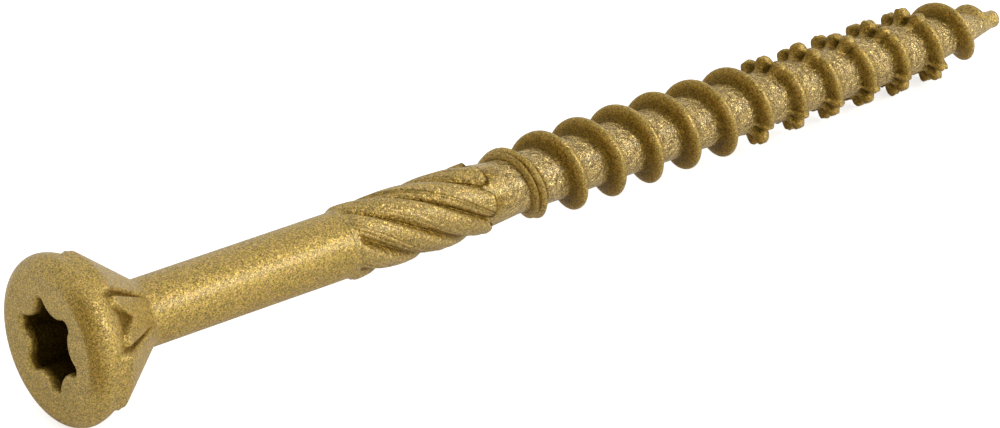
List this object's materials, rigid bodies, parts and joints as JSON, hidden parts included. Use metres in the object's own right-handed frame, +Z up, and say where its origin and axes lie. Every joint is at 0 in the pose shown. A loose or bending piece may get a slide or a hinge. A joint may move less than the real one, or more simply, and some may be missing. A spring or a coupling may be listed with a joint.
{
  "type": "deck screw",
  "caption": "Deck screw with a six-lobe countersunk head, wide lands and forked ribs under the head, a plain shank, a reamer and a coarse thread with serrated turns and a gimlet point",
  "frame": {"origin": "centre of the flat top face of the head", "axes": "+X toward the point, level with the ground; +Z up; the screw lies on its side and its axis falls 2.1 degrees below +X, because the head's rim and a crest near the point both touch the ground"},
  "size_m": [0.0636, 0.0084, 0.0085],
  "materials": {
    "bronze_coating": "satin metallic flake coating, bronze"
  },
  "bodies": {
    "root": {"deck_screw": "bronze_coating"}
  },
  "joints": []
}
